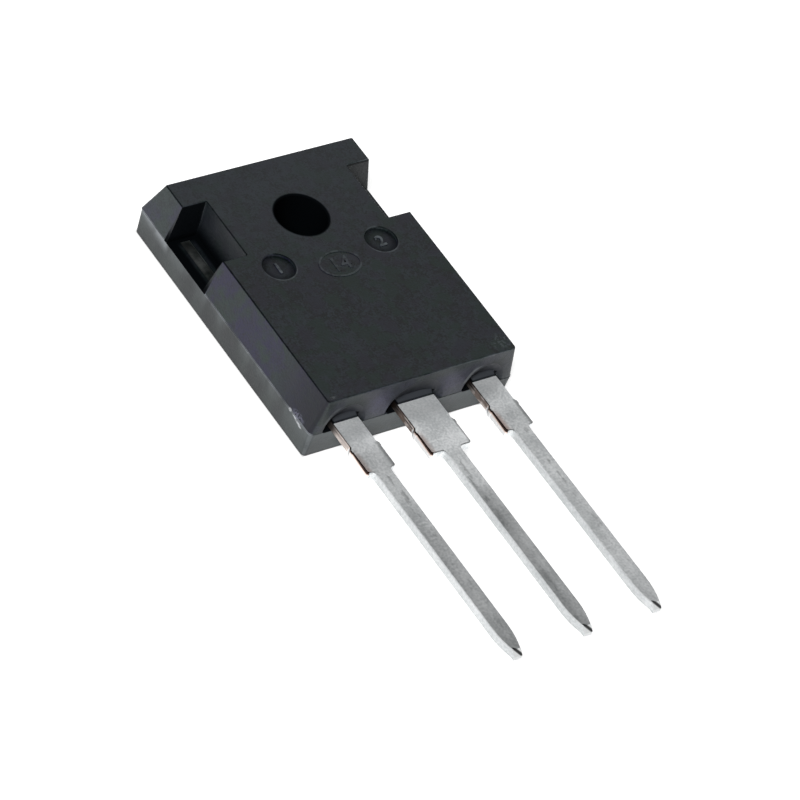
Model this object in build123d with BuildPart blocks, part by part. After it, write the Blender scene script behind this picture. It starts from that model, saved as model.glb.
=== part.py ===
"""Power transistor in a flat three-lead package that bolts to a heat sink.

The part lies on its back. +Z points up through the marked front face, +Y runs from the leads to
the mounting hole, and +X goes across the three leads from gate to emitter. The origin is on the
axis of the mounting hole, in the plane of the back face. All sizes are in millimetres.
"""
from build123d import *
from math import hypot, radians, tan
import os

os.makedirs("parts", exist_ok=True)

# Moulded body ------------------------------------------------------------------------------
BODY_WIDTH = 16.0  # across the long sides, at the parting line
BODY_LENGTH = 21.05  # lead end to hole end, at the parting line
BODY_THICKNESS = 4.9  # back face to front face
HOLE_TO_END = 6.15  # hole axis to the hole end, at the parting line
PARTING_HEIGHT = 2.1  # where the two halves of the mould meet
SIDE_DRAFT = 12.0  # degrees, long sides of the front half
HOLE_END_DRAFT = 19.5  # degrees, hole end of the front half
LEAD_END_DRAFT = 1.5  # degrees, lead end of the front half
BACK_DRAFT = 3.0  # degrees, all four sides of the back half
PARTING_LEDGE = 0.02  # how far the back half stands out beyond the front half where they meet
LEAD_CORNER_RADIUS = 0.4  # upright corners beside the leads, back half
LEAD_CORNER_FLARE = 0.4  # the same corners of the front half, at the parting line
LEAD_CORNER_TIP = 0.25  # and at the front face, where they are sharper
HOLE_CORNER_RADIUS = 0.4  # upright corners beside the hole, back half
HOLE_CORNER_FLARE = 0.25  # the same corners of the front half, at the parting line
HOLE_CORNER_TIP = 0.13  # and at the front face
FRONT_EDGE_RADIUS = 0.1  # edges round the front face
BACK_EDGE_RADIUS = 0.12  # edges round the back face

# Side notches, one each side between the hole and the broad part of the body -----------------
NOTCH_BELOW_HOLE = 2.0  # notch end towards the leads, from the hole axis, at the front face
NOTCH_ABOVE_HOLE = 3.05  # notch end towards the hole end, from the hole axis, at the front face
NECK_WIDTH = 11.1  # front face between the two notches
NOTCH_END_DRAFT = 6.0  # degrees, both ends of a notch
NECK_DRAFT = 3.0  # degrees, wall of the neck
NOTCH_CORNER_RADIUS = 0.12  # inner upright corners of a notch
CLAMP_WINDOW_WIDTH = 0.75  # strip of bare header in a notch floor, where the mould grips it
CLAMP_WINDOW_LENGTH = 4.0

# Hole, ejector pin marks and the hollows round the lead exits --------------------------------
HOLE_RADIUS = 1.8
HOLE_RIM = 0.08  # chamfer where the hole meets the front face
PIN_MARK_RADIUS = 1.1
PIN_MARK_DEPTH = 0.2
PIN_MARK_RIM = 0.06  # chamfer round a pin mark
PIN_MARK_SPACING = 8.05  # centre to centre
PIN_MARK_BELOW_HOLE = 3.55  # centres, from the hole axis
ARCH_DEPTH = 0.5  # how far a hollow goes in at the lead
OUTER_ARCH_HALF_WIDTH = 1.65
OUTER_ARCH_HEIGHT = 2.15  # above the parting line
CENTRE_ARCH_HALF_WIDTH = 2.3
CENTRE_ARCH_HEIGHT = 2.6  # above the parting line
ARCH_CLEARANCE = 0.12  # floor of a hollow, round the lead
LEAD_COVER = 0.05  # film of compound on the lead, where a hollow opens
LEAD_COVER_RISE = 0.3  # how much thicker the film gets towards the floor of the hollow

# Raised oval for the cavity number -----------------------------------------------------------
OVAL_WIDTH = 3.0  # across the body, to the middle of the line
OVAL_LENGTH = 2.1
OVAL_X = 0.1
OVAL_BELOW_HOLE = 4.6  # centre, from the hole axis
OVAL_LINE = 0.14
OVAL_RELIEF = 0.04

# Leads ------------------------------------------------------------------------------------
LEAD_PITCH = 5.45
LEAD_THICKNESS = 0.62
LEAD_WIDTH = 1.2
LEAD_LENGTH = 20.05  # body to tip
SHOULDER_LENGTH = 4.3  # body to the end of the broad shoulder
OUTER_ROOT_WIDTH = 1.9  # gate and emitter shoulders, from the body to the cut tie bar
CENTRE_ROOT_WIDTH = 2.85  # the same, on the collector lead
SHOULDER_STEP = 0.13  # how much a shoulder widens on each side past the tie bar
TIE_BAR_STUB = 0.04  # what the cut left standing on each side
TIE_BAR_FROM_BODY = 2.25  # middle of the tie bar
TIE_BAR_WIDTH = 0.5
TIE_BAR_RAMP = 0.28  # length over which the edge goes out to the stub
SHOULDER_CHAMFER = 0.12
NECK_RADIUS = 0.25  # inside corner between the shoulder and the narrow lead
TIP_LENGTH = 2.2  # over which the lead narrows
NOSE_LENGTH = 0.36  # blunt end of the tip
NOSE_WIDTH = 0.6
NOSE_BEVEL = 0.32  # how far the nose is coined down at its end
DIE_ROLL = 0.05  # upper edges of the leads, drawn down where the punch went in
POST_WIDTH = 3.4  # pads inside the body that the wires are bonded to
POST_LENGTH = 1.7
POST_FROM_END = 0.9  # body end to the post
POST_INSET = 0.2  # post centre, from the lead's own axis towards the middle
POST_HOLE_RADIUS = 0.3  # the moulding compound locks through it
POST_HOLE_FROM_EDGE = 0.6

# Copper header, one piece with the collector lead --------------------------------------------
HEADER_THICKNESS = 2.0
PAD_WIDTH = 13.5  # bare copper on the back face
PAD_FROM_LEAD_END = 3.45
PAD_FROM_HOLE_END = 0.95
PAD_CORNER_CHAMFER = 0.8
LOCK_STEP = 0.35  # overhang of the upper half of the header, which locks it in the moulding
LOCK_HEIGHT = 1.0  # back face to the underside of the overhang
HEADER_HOLE_RADIUS = 3.6  # leaves a ring of moulding compound round the mounting hole
GROOVE_WIDTH = 0.5  # V groove that stops the solder and grips the moulding
GROOVE_DEPTH = 0.22
GROOVE_BELOW_HOLE = 4.35  # from the hole axis
TONGUE_WIDTH = 3.2  # strip that joins the header to the collector lead
TONGUE_FROM_END = 0.9  # body end to the broad part of the tongue
TONGUE_STEP_FROM_END = 1.5  # body end to the start of the step
TONGUE_STEP_RUN = 0.8  # length over which it steps down from the leads to the header

# Dies, solder and wires ---------------------------------------------------------------------
SOLDER_THICKNESS = 0.08
SOLDER_BORDER = 0.1  # beyond the die all round
DIE_THICKNESS = 0.2
IGBT_WIDTH = 5.2
IGBT_LENGTH = 5.6
DIODE_WIDTH = 3.6
DIODE_LENGTH = 4.6
DIE_FROM_HEADER_END = 1.0  # both dies, from the header's edge beside the leads
DIE_GAP = 0.9  # between the two dies
DIE_PAIR_OFFSET = -0.35  # middle of the pair, from the middle of the header
POWER_WIRE_RADIUS = 0.19
POWER_LOOP_HEIGHT = 1.15
POWER_FOOT = 0.55  # length of the flattened bond at each end
GATE_WIRE_RADIUS = 0.1
GATE_LOOP_HEIGHT = 0.75
GATE_FOOT = 0.35
LOOP_BEND = 3.0  # bend radius at the top of a loop, in wire radii
HEEL_BEND = 2.0  # bend radius next to a bond, in wire radii
WIRE_FLATTENING = 0.2  # share of the radius that a bond loses
WIRE_FLATS = 8  # the round wires are drawn with this many sides
WIRE_PITCH_ON_POST = 0.75
GATE_PAD_INSET = 0.6  # gate bond, from the two edges of the die

LEAD_END = HOLE_TO_END - BODY_LENGTH
LEAD_TOP = PARTING_HEIGHT + LEAD_THICKNESS
HEADER_NEAR = LEAD_END + PAD_FROM_LEAD_END - LOCK_STEP
HEADER_HALF_WIDTH = PAD_WIDTH / 2 + LOCK_STEP
SOLDER_TOP = HEADER_THICKNESS + SOLDER_THICKNESS
DIE_TOP = SOLDER_TOP + DIE_THICKNESS
DIE_NEAR = HEADER_NEAR + DIE_FROM_HEADER_END
POST_NEAR = LEAD_END + POST_FROM_END
POST_MIDDLE = POST_NEAR + POST_LENGTH / 2
CUT_MARGIN = 0.5  # how far a cutting shape stands out of what it cuts


def inset(rise, draft):
    """How far a wall with this draft leans in over this rise."""
    return rise * tan(radians(draft))


def body_section(height, side_draft, lead_draft, hole_draft, ledge, lead_corner, hole_corner):
    """Level section of one half of the body, which narrows away from the parting line."""
    rise = abs(height - PARTING_HEIGHT)
    half_width = BODY_WIDTH / 2 - ledge - inset(rise, side_draft)
    near = LEAD_END + ledge + inset(rise, lead_draft)
    far = HOLE_TO_END - ledge - inset(rise, hole_draft)
    with BuildSketch(Plane.XY.offset(height)) as section:
        with Locations((0, (near + far) / 2)):
            Rectangle(2 * half_width, far - near)
        fillet(section.vertices().group_by(Axis.Y)[0], lead_corner)
        fillet(section.vertices().group_by(Axis.Y)[-1], hole_corner)
    return section.sketch


def front_section(height, lead_corner, hole_corner):
    """Level section of the front half."""
    return body_section(height, SIDE_DRAFT, LEAD_END_DRAFT, HOLE_END_DRAFT, PARTING_LEDGE, lead_corner,
                        hole_corner)


def notch_section(side, height):
    """Level section of a side notch, which widens towards the front face."""
    depth = BODY_THICKNESS - height
    near = -NOTCH_BELOW_HOLE + inset(depth, NOTCH_END_DRAFT)
    far = NOTCH_ABOVE_HOLE - inset(depth, NOTCH_END_DRAFT)
    inner = NECK_WIDTH / 2 + inset(depth, NECK_DRAFT)
    outer = BODY_WIDTH / 2 + CUT_MARGIN
    with BuildSketch(Plane.XY.offset(height)) as section:
        with Locations((side * (inner + outer) / 2, (near + far) / 2)):
            Rectangle(outer - inner, far - near)
        inner_corners = section.vertices().sort_by_distance((0, (near + far) / 2, height))[:2]
        fillet(inner_corners, NOTCH_CORNER_RADIUS)
    return section.sketch


def arch_section(lead_x, half_width, height, depth):
    """Upright half ellipse over a lead exit, at this depth behind the body's lead end."""
    with BuildSketch(Plane((lead_x, LEAD_END + depth, PARTING_HEIGHT), (1, 0, 0), (0, -1, 0))) as section:
        with BuildLine():
            arch = EllipticalCenterArc((0, 0), half_width, height, arc_size=180)
            Line(arch @ 0, arch @ 1)
        make_face()
    return section.sketch


def lead_exit_arch(lead_x, half_width, height, root_width):
    """Hollow that narrows from the lead end of the body down to the lead itself."""
    floor_half_width = root_width / 2 + ARCH_CLEARANCE
    floor_height = LEAD_THICKNESS + ARCH_CLEARANCE
    spread = CUT_MARGIN / ARCH_DEPTH
    mouth = arch_section(lead_x, half_width + (half_width - floor_half_width) * spread,
                         height + (height - floor_height) * spread, -CUT_MARGIN)
    floor = arch_section(lead_x, floor_half_width, floor_height, ARCH_DEPTH)
    return loft([mouth, floor], mode=Mode.PRIVATE)


def lead_cover(lead_x, root_width):
    """Wedge of compound that covers the lead in its hollow, down to a thin film at the body's end."""
    depth = ARCH_DEPTH + CUT_MARGIN
    with BuildSketch(Plane((lead_x, LEAD_END, LEAD_TOP), (0, 1, 0), (1, 0, 0))) as profile:
        with BuildLine():
            Polyline((0, 0), (depth, 0), (depth, LEAD_COVER + LEAD_COVER_RISE), (0, LEAD_COVER), close=True)
        make_face()
    return extrude(profile.sketch, amount=root_width / 2, both=True, mode=Mode.PRIVATE)


def lead_outline(lead_x, root_width, inner_end):
    """Outline of a lead from inside the body to its tip, alike on both sides of its own axis."""
    root = root_width / 2
    shoulder = root + SHOULDER_STEP
    stub = shoulder + TIE_BAR_STUB
    bar_near = LEAD_END - TIE_BAR_FROM_BODY + TIE_BAR_WIDTH / 2
    bar_far = bar_near - TIE_BAR_WIDTH
    shoulder_end = LEAD_END - SHOULDER_LENGTH
    tip = LEAD_END - LEAD_LENGTH
    nose_start = tip + NOSE_LENGTH
    narrow = LEAD_WIDTH / 2
    nose = NOSE_WIDTH / 2
    with BuildSketch(Plane((lead_x, 0, PARTING_HEIGHT))) as outline:
        with BuildLine():
            Polyline((0, inner_end), (root, inner_end), (root, bar_near), (stub, bar_near - TIE_BAR_RAMP),
                     (stub, bar_far), (shoulder, bar_far - TIE_BAR_STUB),
                     (shoulder, shoulder_end + SHOULDER_CHAMFER),
                     (shoulder - SHOULDER_CHAMFER, shoulder_end), (narrow + NECK_RADIUS, shoulder_end))
            neck = JernArc((narrow + NECK_RADIUS, shoulder_end), (-1, 0), NECK_RADIUS, 90)
            taper = Polyline(neck @ 1, (narrow, tip + TIP_LENGTH))
            TangentArc(taper @ 1, (nose, nose_start), tangent=(0, -1))
            Polyline((nose, nose_start), (nose, tip), (0, tip))
            mirror(about=Plane.YZ)
        make_face()
    return outline.sketch


def roll_edges(lead):
    """Breaks the upper edges of a lead from its tie bar to its tip."""
    upper = lead.edges().filter_by_position(Axis.Z, LEAD_TOP, LEAD_TOP)
    outside = upper.filter_by(lambda edge: edge.bounding_box().max.Y < LEAD_END - DIE_ROLL)
    chamfer(outside, DIE_ROLL)


def nose_bevel(lead_x):
    """Wedge that the coining takes off the upper side of a lead's tip."""
    tip = LEAD_END - LEAD_LENGTH
    with BuildSketch(Plane((lead_x, tip, LEAD_TOP), (0, 1, 0), (1, 0, 0))) as profile:
        with BuildLine():
            Polyline((0, 0), (NOSE_LENGTH, 0), (0, -NOSE_BEVEL), close=True)
        make_face()
    return extrude(profile.sketch, amount=LEAD_WIDTH, both=True, mode=Mode.PRIVATE)


def outer_lead(side):
    """Gate or emitter lead: a flat stamping with a broad bonding post inside the body."""
    lead_x = side * LEAD_PITCH
    post_x = lead_x - side * POST_INSET
    hole_x = post_x + side * (POST_WIDTH / 2 - POST_HOLE_FROM_EDGE)
    with BuildPart() as lead:
        add(lead_outline(lead_x, OUTER_ROOT_WIDTH, POST_MIDDLE))
        with BuildSketch(Plane.XY.offset(PARTING_HEIGHT)):
            with Locations((post_x, POST_MIDDLE)):
                Rectangle(POST_WIDTH, POST_LENGTH)
            with Locations((hole_x, POST_MIDDLE)):
                Circle(POST_HOLE_RADIUS, mode=Mode.SUBTRACT)
        extrude(amount=LEAD_THICKNESS)
        roll_edges(lead)
        add(nose_bevel(lead_x), mode=Mode.SUBTRACT)
    return lead.part


def die_stack(centre_x, width, length):
    """A die and the solder under it, both flat on the header."""
    centre_y = DIE_NEAR + length / 2
    with BuildPart() as solder:
        with BuildSketch(Plane.XY.offset(HEADER_THICKNESS)) as pool:
            with Locations((centre_x, centre_y)):
                Rectangle(width + 2 * SOLDER_BORDER, length + 2 * SOLDER_BORDER)
            chamfer(pool.vertices(), SOLDER_BORDER)
        extrude(amount=SOLDER_THICKNESS)
    with BuildPart() as die:
        with BuildSketch(Plane.XY.offset(SOLDER_TOP)):
            with Locations((centre_x, centre_y)):
                Rectangle(width, length)
        extrude(amount=DIE_THICKNESS)
    return solder.part, die.part


def bond_wire(die_bond, post_bond, radius, foot, loop_height):
    """Round wire with a flattened bond on the die, a loop, and a flattened bond on a post."""
    run = post_bond - die_bond
    along = run.normalized()
    side_view = Plane(die_bond, x_dir=along, z_dir=along.cross(Vector(0, 0, 1)))
    seat = radius * (1 - WIRE_FLATTENING)
    die_level = DIE_TOP + seat
    post_level = LEAD_TOP + seat
    crown = DIE_TOP + loop_height
    length = run.length
    rise_run = crown - die_level
    fall_run = crown - post_level
    with BuildPart() as wire:
        with BuildLine(side_view) as path:
            FilletPolyline((0, die_level), (foot, die_level), (foot + rise_run, crown),
                           (length - foot - fall_run, crown), (length - foot, post_level),
                           (length, post_level),
                           radius=[HEEL_BEND * radius, LOOP_BEND * radius, LOOP_BEND * radius,
                                   HEEL_BEND * radius])
        with BuildSketch(Plane(origin=path.line @ 0, z_dir=path.line % 0)):
            RegularPolygon(radius, WIRE_FLATS, rotation=180 / WIRE_FLATS)
        sweep()
        with BuildSketch(side_view):
            with Locations((foot / 2, DIE_TOP - radius)):
                Rectangle(2 * foot, 2 * radius)
            with Locations((length - foot / 2, LEAD_TOP - radius)):
                Rectangle(2 * foot, 2 * radius)
        extrude(amount=2 * radius, both=True, mode=Mode.SUBTRACT)
    return wire.part


# Copper header with the collector lead --------------------------------------------------------
pad_near = LEAD_END + PAD_FROM_LEAD_END
pad_far = HOLE_TO_END - PAD_FROM_HOLE_END
pad_middle = (pad_near + pad_far) / 2
with BuildPart() as collector_header:
    with BuildSketch() as pad:
        with Locations((0, pad_middle)):
            Rectangle(PAD_WIDTH, pad_far - pad_near)
        chamfer(pad.vertices().group_by(Axis.Y)[-1], PAD_CORNER_CHAMFER)
    extrude(amount=LOCK_HEIGHT)
    with BuildSketch(Plane.XY.offset(LOCK_HEIGHT)) as overhang:
        with Locations((0, pad_middle)):
            Rectangle(2 * HEADER_HALF_WIDTH, pad_far - pad_near + 2 * LOCK_STEP)
        chamfer(overhang.vertices().group_by(Axis.Y)[-1], PAD_CORNER_CHAMFER)
    extrude(amount=HEADER_THICKNESS - LOCK_HEIGHT)
    Hole(HEADER_HOLE_RADIUS)
    with BuildSketch(Plane((0, -GROOVE_BELOW_HOLE, HEADER_THICKNESS), (0, 1, 0), (1, 0, 0))):
        with BuildLine():
            Polyline((-GROOVE_WIDTH / 2, 0), (GROOVE_WIDTH / 2, 0), (0, -GROOVE_DEPTH), close=True)
        make_face()
    extrude(amount=BODY_WIDTH / 2, both=True, mode=Mode.SUBTRACT)
    # The tongue leaves the header level with its upper face and steps up to the leads.
    tongue_end = LEAD_END + TONGUE_FROM_END
    step_near = LEAD_END + TONGUE_STEP_FROM_END
    step_far = step_near + TONGUE_STEP_RUN
    tongue_under = HEADER_THICKNESS - LEAD_THICKNESS
    with BuildSketch(Plane((0, 0, 0), (0, 1, 0), (1, 0, 0))):
        with BuildLine():
            Polyline((tongue_end, PARTING_HEIGHT), (step_near, PARTING_HEIGHT), (step_far, tongue_under),
                     (pad_near, tongue_under), (pad_near, HEADER_THICKNESS),
                     (step_far, HEADER_THICKNESS), (step_near, LEAD_TOP), (tongue_end, LEAD_TOP),
                     close=True)
        make_face()
    extrude(amount=TONGUE_WIDTH / 2, both=True)
    extrude(lead_outline(0, CENTRE_ROOT_WIDTH, tongue_end), amount=LEAD_THICKNESS)
    roll_edges(collector_header)
    add(nose_bevel(0), mode=Mode.SUBTRACT)
collector_header.part.label = "collector_header"

# Gate and emitter leads -----------------------------------------------------------------------
gate_lead = outer_lead(-1)
gate_lead.label = "gate_lead"
emitter_lead = outer_lead(1)
emitter_lead.label = "emitter_lead"

# Dies on the header ---------------------------------------------------------------------------
pair_width = IGBT_WIDTH + DIE_GAP + DIODE_WIDTH
igbt_x = DIE_PAIR_OFFSET - pair_width / 2 + IGBT_WIDTH / 2
diode_x = DIE_PAIR_OFFSET + pair_width / 2 - DIODE_WIDTH / 2
igbt_solder, igbt_die = die_stack(igbt_x, IGBT_WIDTH, IGBT_LENGTH)
diode_solder, diode_die = die_stack(diode_x, DIODE_WIDTH, DIODE_LENGTH)
igbt_solder.label = "igbt_solder"
igbt_die.label = "igbt_die"
diode_solder.label = "diode_solder"
diode_die.label = "diode_die"

# Wires: gate pad to gate post, then two from the transistor and two from the diode -------------
gate_bond = Vector(igbt_x - IGBT_WIDTH / 2 + GATE_PAD_INSET, DIE_NEAR + GATE_PAD_INSET)
gate_post = Vector(-LEAD_PITCH + POST_INSET, POST_MIDDLE)
gate_wire = bond_wire(gate_bond, gate_post, GATE_WIRE_RADIUS, GATE_FOOT, GATE_LOOP_HEIGHT)
gate_wire.label = "gate_wire"

power_bonds = [(igbt_x - IGBT_WIDTH / 8, DIE_NEAR + IGBT_LENGTH * 0.45),
               (igbt_x + IGBT_WIDTH / 4, DIE_NEAR + IGBT_LENGTH * 0.7),
               (diode_x - DIODE_WIDTH / 5, DIE_NEAR + DIODE_LENGTH * 0.5),
               (diode_x + DIODE_WIDTH / 5, DIE_NEAR + DIODE_LENGTH * 0.6)]
power_wires = []
for number, die_bond in enumerate(power_bonds):
    post_x = LEAD_PITCH - POST_INSET + (number - 2) * WIRE_PITCH_ON_POST
    wire = bond_wire(Vector(*die_bond), Vector(post_x, POST_MIDDLE), POWER_WIRE_RADIUS, POWER_FOOT,
                     POWER_LOOP_HEIGHT)
    wire.label = f"emitter_wire_{number + 1}"
    power_wires.append(wire)

# Moulded body, cast round everything above ------------------------------------------------------
inside = [collector_header.part, gate_lead, emitter_lead, igbt_solder, igbt_die, diode_solder,
          diode_die, gate_wire, *power_wires]
with BuildPart() as moulded_body:
    extrude(body_section(PARTING_HEIGHT, 0, 0, 0, 0, LEAD_CORNER_RADIUS, HOLE_CORNER_RADIUS),
            amount=-PARTING_HEIGHT, taper=BACK_DRAFT)
    back_face = moulded_body.faces().sort_by(Axis.Z)[0]
    fillet(back_face.edges(), BACK_EDGE_RADIUS)
    loft([front_section(PARTING_HEIGHT, LEAD_CORNER_FLARE, HOLE_CORNER_FLARE),
          front_section(BODY_THICKNESS, LEAD_CORNER_TIP, HOLE_CORNER_TIP)], ruled=True)
    for side in (-1, 1):
        loft([notch_section(side, height) for height in (PARTING_HEIGHT, BODY_THICKNESS + CUT_MARGIN)],
             mode=Mode.SUBTRACT)
    front_face = moulded_body.faces().sort_by(Axis.Z)[-1]
    fillet(front_face.edges(), FRONT_EDGE_RADIUS)
    add(lead_exit_arch(0, CENTRE_ARCH_HALF_WIDTH, CENTRE_ARCH_HEIGHT, CENTRE_ROOT_WIDTH),
        mode=Mode.SUBTRACT)
    add(lead_cover(0, CENTRE_ROOT_WIDTH))
    for lead_x in (-LEAD_PITCH, LEAD_PITCH):
        add(lead_exit_arch(lead_x, OUTER_ARCH_HALF_WIDTH, OUTER_ARCH_HEIGHT, OUTER_ROOT_WIDTH),
            mode=Mode.SUBTRACT)
        add(lead_cover(lead_x, OUTER_ROOT_WIDTH))
    Hole(HOLE_RADIUS)
    rims = moulded_body.edges().filter_by(GeomType.CIRCLE).group_by(Axis.Z)[-1]
    chamfer(rims, HOLE_RIM)
    with BuildSketch(Plane.XY.offset(BODY_THICKNESS)):
        with Locations((0, -PIN_MARK_BELOW_HOLE)):
            with GridLocations(PIN_MARK_SPACING, 0, 2, 1):
                Circle(PIN_MARK_RADIUS)
    extrude(amount=-PIN_MARK_DEPTH, mode=Mode.SUBTRACT)
    rims = moulded_body.edges().filter_by(GeomType.CIRCLE).group_by(Axis.Z)[-1]
    chamfer(rims.filter_by(lambda rim: abs(rim.radius - PIN_MARK_RADIUS) < PIN_MARK_RIM), PIN_MARK_RIM)
    with BuildSketch(Plane.XY.offset(BODY_THICKNESS)):
        with Locations((OVAL_X, -OVAL_BELOW_HOLE)):
            Ellipse((OVAL_WIDTH + OVAL_LINE) / 2, (OVAL_LENGTH + OVAL_LINE) / 2)
            Ellipse((OVAL_WIDTH - OVAL_LINE) / 2, (OVAL_LENGTH - OVAL_LINE) / 2, mode=Mode.SUBTRACT)
    extrude(amount=OVAL_RELIEF)
    # The mould grips the header through a window in the floor of each notch.
    window_middle = (NOTCH_ABOVE_HOLE - NOTCH_BELOW_HOLE) / 2
    window_x = HEADER_HALF_WIDTH - CLAMP_WINDOW_WIDTH / 2
    with BuildSketch(Plane.XY.offset(PARTING_HEIGHT)):
        with Locations((-window_x, window_middle), (window_x, window_middle)):
            Rectangle(CLAMP_WINDOW_WIDTH, CLAMP_WINDOW_LENGTH)
    extrude(amount=HEADER_THICKNESS - PARTING_HEIGHT, mode=Mode.SUBTRACT)
    add(inside, mode=Mode.SUBTRACT)
moulded_body.part.label = "moulded_body"

for piece in [moulded_body.part, *inside]:
    export_step(piece, f"parts/{piece.label}.step")
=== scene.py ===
"""Dresses a flat-package power transistor: materials, moulded marks, flash, camera and studio.

Lengths are in metres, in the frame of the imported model: +Z out of the front face, +Y from the leads
towards the hole end, +X across the leads, and the origin on the hole's axis at the back face.
"""
import math

import bmesh
import bpy
from bpy.props import FloatProperty, FloatVectorProperty, PointerProperty, StringProperty
from mathutils import Matrix, Vector


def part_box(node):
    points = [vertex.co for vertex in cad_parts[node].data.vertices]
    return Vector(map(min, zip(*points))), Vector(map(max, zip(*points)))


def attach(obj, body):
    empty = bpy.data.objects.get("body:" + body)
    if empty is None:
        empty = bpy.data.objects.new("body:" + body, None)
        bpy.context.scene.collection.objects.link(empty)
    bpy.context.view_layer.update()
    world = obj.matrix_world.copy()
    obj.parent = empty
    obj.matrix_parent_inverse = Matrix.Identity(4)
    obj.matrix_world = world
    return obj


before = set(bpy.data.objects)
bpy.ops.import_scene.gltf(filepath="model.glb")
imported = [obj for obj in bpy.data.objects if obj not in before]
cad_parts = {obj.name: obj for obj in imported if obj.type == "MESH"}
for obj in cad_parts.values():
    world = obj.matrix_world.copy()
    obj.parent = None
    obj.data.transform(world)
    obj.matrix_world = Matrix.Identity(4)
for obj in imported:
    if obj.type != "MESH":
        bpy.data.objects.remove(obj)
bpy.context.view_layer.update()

bl_info = {
    "name": "Power transistor dressing",
    "version": (1, 0, 0),
    "blender": (4, 5, 0),
    "location": "View3D > Sidebar > Transistor",
    "description": "Finishes, moulded marks and a studio for a power transistor in a flat package",
    "category": "Object",
}

MM = 0.001
BODY_LOW, BODY_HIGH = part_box("moulded_body")
GATE_LOW, GATE_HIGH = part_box("gate_lead")
OVAL_RELIEF = 0.04 * MM  # how far the raised oval stands out of the front face
FRONT_FACE = BODY_HIGH.z - OVAL_RELIEF
OVAL_CENTRE = (0.1 * MM, -4.6 * MM)
PARTING = GATE_LOW.z  # the leads lie on the parting line
LEAD_TOP = GATE_HIGH.z
LEAD_END = BODY_LOW.y
HOLE_END = BODY_HIGH.y
LEAD_TIP = GATE_LOW.y
LEAD_PITCH = 5.45 * MM
HOLE_RADIUS = 1.8 * MM
NOTCH = (-2.0 * MM, 3.05 * MM)  # its two ends
NECK = 5.55 * MM  # its inner wall, from the middle of the body
PIN_MARK = (4.025 * MM, -3.55 * MM)
PIN_MARK_RADIUS = 1.1 * MM
PIN_MARK_DEPTH = 0.2 * MM
# On the gate's, the collector's and the emitter's lead:
ROOT_HALF_WIDTHS = (0.95 * MM, 1.425 * MM, 0.95 * MM)  # of the leads where they leave the body
SHOULDER_HALF_WIDTHS = (1.08 * MM, 1.555 * MM, 1.08 * MM)
HOLLOW_HALF_WIDTHS = (1.65 * MM, 2.3 * MM, 1.65 * MM)  # of the arched hollows round the roots
HOLLOW_HEIGHTS = (2.15 * MM, 2.6 * MM, 2.15 * MM)
NARROWING = (4.2 * MM, 4.9 * MM)  # where the shoulders narrow, from the end of the body


# Colours and nodes --------------------------------------------------------------------------------
def srgb(code):
    """Linear RGBA of an sRGB hex colour such as '2a2d30'."""
    levels = [int(code[i:i + 2], 16) / 255 for i in (0, 2, 4)]
    linear = [v / 12.92 if v <= 0.04045 else ((v + 0.055) / 1.055) ** 2.4 for v in levels]
    return (*linear, 1.0)


def add_node(tree, kind, inputs=None, **settings):
    """Adds a node, sets its properties, and fills or links its inputs by name or number."""
    node = tree.nodes.new(kind)
    for name, value in settings.items():
        setattr(node, name, value)
    for key, value in (inputs or {}).items():
        if isinstance(value, bpy.types.NodeSocket):
            tree.links.new(value, node.inputs[key])
        else:
            node.inputs[key].default_value = value
    return node


def new_material(name):
    """A material with an empty node tree but for its Principled shader and output."""
    material = bpy.data.materials.new(name)
    material.use_nodes = True
    tree = material.node_tree
    tree.nodes.clear()
    shader = add_node(tree, "ShaderNodeBsdfPrincipled")
    add_node(tree, "ShaderNodeOutputMaterial", {"Surface": shader.outputs["BSDF"]})
    return material, tree, shader


def blend_colours(tree, factor, first, second):
    """Socket of a colour that goes from first to second with factor."""
    return add_node(tree, "ShaderNodeMix", {0: factor, 6: first, 7: second}, data_type="RGBA").outputs[2]


def blend_numbers(tree, factor, first, second):
    """Socket of a number that goes from first to second with factor."""
    return add_node(tree, "ShaderNodeMix", {0: factor, 2: first, 3: second}, data_type="FLOAT").outputs[0]


def combine(tree, operation, *values):
    """Socket of a sum, product or other operation on numbers and sockets."""
    return add_node(tree, "ShaderNodeMath", dict(enumerate(values)), operation=operation).outputs[0]


def total(tree, first, *others):
    """Socket of the sum of several numbers."""
    for other in others:
        first = combine(tree, "ADD", first, other)
    return first


def product(tree, first, *others):
    """Socket of the product of several masks or numbers."""
    for other in others:
        first = combine(tree, "MULTIPLY", first, other)
    return first


def invert(tree, mask):
    """Socket that is 0 where the mask is 1, and 1 where it is 0."""
    return combine(tree, "SUBTRACT", 1.0, mask)


def distance(tree, *parts):
    """Socket of the length of a vector with these parts."""
    return combine(tree, "SQRT", total(tree, *(combine(tree, "POWER", part, 2.0) for part in parts)))


def ramp(tree, value, low, high, start=0.0, end=1.0):
    """Socket that goes smoothly from start to end while value goes from low to high."""
    return add_node(tree, "ShaderNodeMapRange",
                    {"Value": value, "From Min": low, "From Max": high, "To Min": start, "To Max": end},
                    interpolation_type="SMOOTHSTEP").outputs["Result"]


def band(tree, value, low, high, soft):
    """Socket that is 1 from low to high and fades to 0 over a soft border outside them."""
    return product(tree, ramp(tree, value, low - soft, low), ramp(tree, value, high, high + soft, 1.0, 0.0))


def stain(tree, colour, code, *masks):
    """Socket of a colour that turns to an sRGB hex colour by the product of the masks."""
    return blend_colours(tree, product(tree, *masks), colour, srgb(code))


def grain(tree, place, size, detail=2.0, stretch=(1.0, 1.0, 1.0), shift=(0.0, 0.0, 0.0)):
    """Socket of a soft noise whose lumps are about this size in metres."""
    mapped = add_node(tree, "ShaderNodeMapping",
                      {"Vector": place, "Scale": [s / size for s in stretch], "Location": shift})
    return add_node(tree, "ShaderNodeTexNoise",
                    {"Vector": mapped.outputs[0], "Scale": 1.0, "Detail": detail}).outputs["Fac"]


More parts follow.
